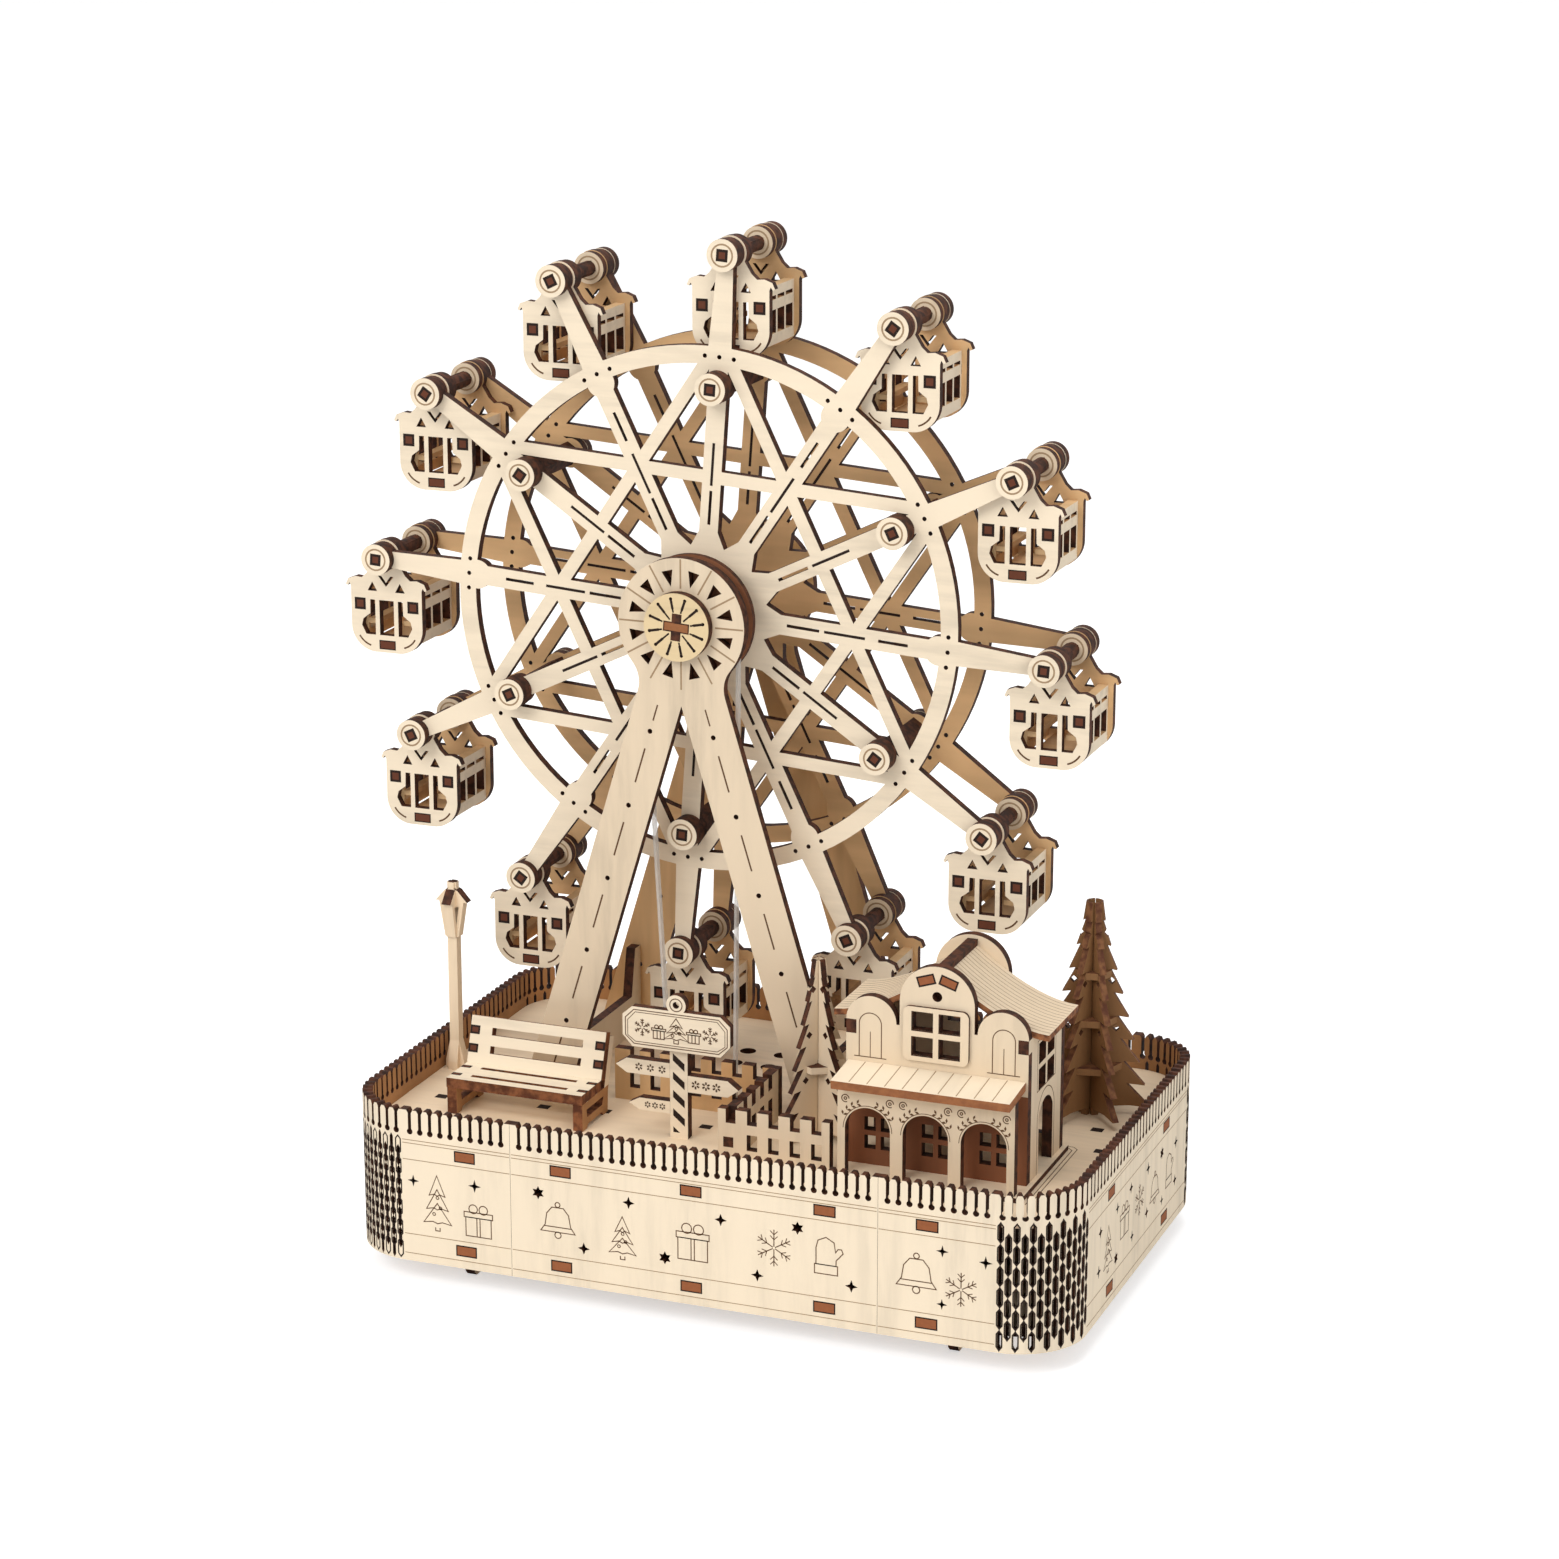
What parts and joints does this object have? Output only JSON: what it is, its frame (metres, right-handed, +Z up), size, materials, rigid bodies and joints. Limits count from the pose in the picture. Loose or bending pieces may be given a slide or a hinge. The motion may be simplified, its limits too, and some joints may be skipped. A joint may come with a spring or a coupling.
{
  "type": "wooden ferris wheel model",
  "caption": "Hand-cranked toy ferris wheel of slotted plywood: belt-driven wheel with hanging cabins on two A-shaped stands over a picket-edged base with house, trees, bench and fences.",
  "frame": {"origin": "middle of the whole model's box, at the table", "axes": "+X to the right along the front, +Y to the back along the wheel axis, +Z up"},
  "size_m": [0.255, 0.1574, 0.2971],
  "materials": {
    "plywood": "bare basswood plywood, laser-cut with dark edges",
    "burnt_plywood": "laser-burnt plywood edge",
    "hardwood": "bare sanded wood",
    "tree_plywood": "bare plywood with dark sawn edges",
    "clear_band": "clear elastic band"
  },
  "bodies": {
    "base": {"floor_plate": "plywood", "deck_plate": "plywood", "wall_front": "plywood", "wall_back": "plywood", "wall_left": "plywood", "wall_right": "plywood", "feet": "burnt_plywood", "bearing_boards": "plywood", "front_stand": "plywood", "rear_stand": "plywood", "gussets": "plywood", "belt": "clear_band", "bench": "plywood", "street_lamp": "plywood", "sign_post": "plywood", "sign_board": "plywood", "direction_arrows": "plywood", "front_fence": "plywood", "side_fence": "plywood", "rear_fence": "plywood", "house_plinth": "plywood", "house_front": "plywood", "house_arcade": "plywood", "house_awning": "plywood", "house_window": "plywood", "house_rear": "plywood", "house_sides": "plywood", "house_ridge": "burnt_plywood", "house_roof": "plywood", "small_tree": "tree_plywood", "large_tree": "tree_plywood"},
    "wheel": {"wheel_front": "plywood", "wheel_rear": "plywood", "shaft_boards": "burnt_plywood", "shaft_bushes": "hardwood", "hub_discs": "plywood", "drive_pulley": "burnt_plywood", "cabin_axles": "hardwood", "cabin_caps": "plywood", "spacer_bars": "hardwood", "inner_caps": "plywood"},
    "crank": {"crank_shaft": "hardwood", "crank_pulley": "burnt_plywood", "crank_arm": "plywood", "crank_knob": "hardwood"},
    "cabin_01": {"cabin_01": "plywood"},
    "cabin_02": {"cabin_02": "plywood"},
    "cabin_03": {"cabin_03": "plywood"},
    "cabin_04": {"cabin_04": "plywood"},
    "cabin_05": {"cabin_05": "plywood"},
    "cabin_06": {"cabin_06": "plywood"},
    "cabin_07": {"cabin_07": "plywood"},
    "cabin_08": {"cabin_08": "plywood"},
    "cabin_09": {"cabin_09": "plywood"},
    "cabin_10": {"cabin_10": "plywood"},
    "cabin_11": {"cabin_11": "plywood"},
    "cabin_12": {"cabin_12": "plywood"}
  },
  "joints": [
    {"name": "wheel_spin", "type": "hinge", "parent": "base", "child": "wheel", "pos_m": [-0.00978, -0.00875, 0.188], "axis": [0, 1, 0], "continuous": true},
    {"name": "crank_spin", "type": "hinge", "parent": "base", "child": "crank", "pos_m": [-0.00618, -0.00875, 0.027], "axis": [0, 1, 0], "continuous": true},
    {"name": "cabin_01_swing", "type": "hinge", "parent": "wheel", "child": "cabin_01", "pos_m": [-0.00231, -0.00875, 0.29223], "axis": [0, 1, 0], "continuous": true},
    {"name": "cabin_02_swing", "type": "hinge", "parent": "wheel", "child": "cabin_02", "pos_m": [0.0488, -0.00875, 0.27453], "axis": [0, 1, 0], "continuous": true},
    {"name": "cabin_03_swing", "type": "hinge", "parent": "wheel", "child": "cabin_03", "pos_m": [0.08422, -0.00875, 0.23365], "axis": [0, 1, 0], "continuous": true},
    {"name": "cabin_04_swing", "type": "hinge", "parent": "wheel", "child": "cabin_04", "pos_m": [0.09445, -0.00875, 0.18053], "axis": [0, 1, 0], "continuous": true},
    {"name": "cabin_05_swing", "type": "hinge", "parent": "wheel", "child": "cabin_05", "pos_m": [0.07675, -0.00875, 0.12941], "axis": [0, 1, 0], "continuous": true},
    {"name": "cabin_06_swing", "type": "hinge", "parent": "wheel", "child": "cabin_06", "pos_m": [0.03586, -0.00875, 0.094], "axis": [0, 1, 0], "continuous": true},
    {"name": "cabin_07_swing", "type": "hinge", "parent": "wheel", "child": "cabin_07", "pos_m": [-0.01726, -0.00875, 0.08377], "axis": [0, 1, 0], "continuous": true},
    {"name": "cabin_08_swing", "type": "hinge", "parent": "wheel", "child": "cabin_08", "pos_m": [-0.06837, -0.00875, 0.10147], "axis": [0, 1, 0], "continuous": true},
    {"name": "cabin_09_swing", "type": "hinge", "parent": "wheel", "child": "cabin_09", "pos_m": [-0.10379, -0.00875, 0.14235], "axis": [0, 1, 0], "continuous": true},
    {"name": "cabin_10_swing", "type": "hinge", "parent": "wheel", "child": "cabin_10", "pos_m": [-0.11402, -0.00875, 0.19547], "axis": [0, 1, 0], "continuous": true},
    {"name": "cabin_11_swing", "type": "hinge", "parent": "wheel", "child": "cabin_11", "pos_m": [-0.09632, -0.00875, 0.24659], "axis": [0, 1, 0], "continuous": true},
    {"name": "cabin_12_swing", "type": "hinge", "parent": "wheel", "child": "cabin_12", "pos_m": [-0.05543, -0.00875, 0.282], "axis": [0, 1, 0], "continuous": true}
  ],
  "couplings": [
    {"joint": "crank_spin", "follows": "wheel_spin", "ratio": 1.5824},
    {"joint": "cabin_01_swing", "follows": "wheel_spin", "ratio": -1},
    {"joint": "cabin_02_swing", "follows": "wheel_spin", "ratio": -1},
    {"joint": "cabin_03_swing", "follows": "wheel_spin", "ratio": -1},
    {"joint": "cabin_04_swing", "follows": "wheel_spin", "ratio": -1},
    {"joint": "cabin_05_swing", "follows": "wheel_spin", "ratio": -1},
    {"joint": "cabin_06_swing", "follows": "wheel_spin", "ratio": -1},
    {"joint": "cabin_07_swing", "follows": "wheel_spin", "ratio": -1},
    {"joint": "cabin_08_swing", "follows": "wheel_spin", "ratio": -1},
    {"joint": "cabin_09_swing", "follows": "wheel_spin", "ratio": -1},
    {"joint": "cabin_10_swing", "follows": "wheel_spin", "ratio": -1},
    {"joint": "cabin_11_swing", "follows": "wheel_spin", "ratio": -1},
    {"joint": "cabin_12_swing", "follows": "wheel_spin", "ratio": -1}
  ]
}
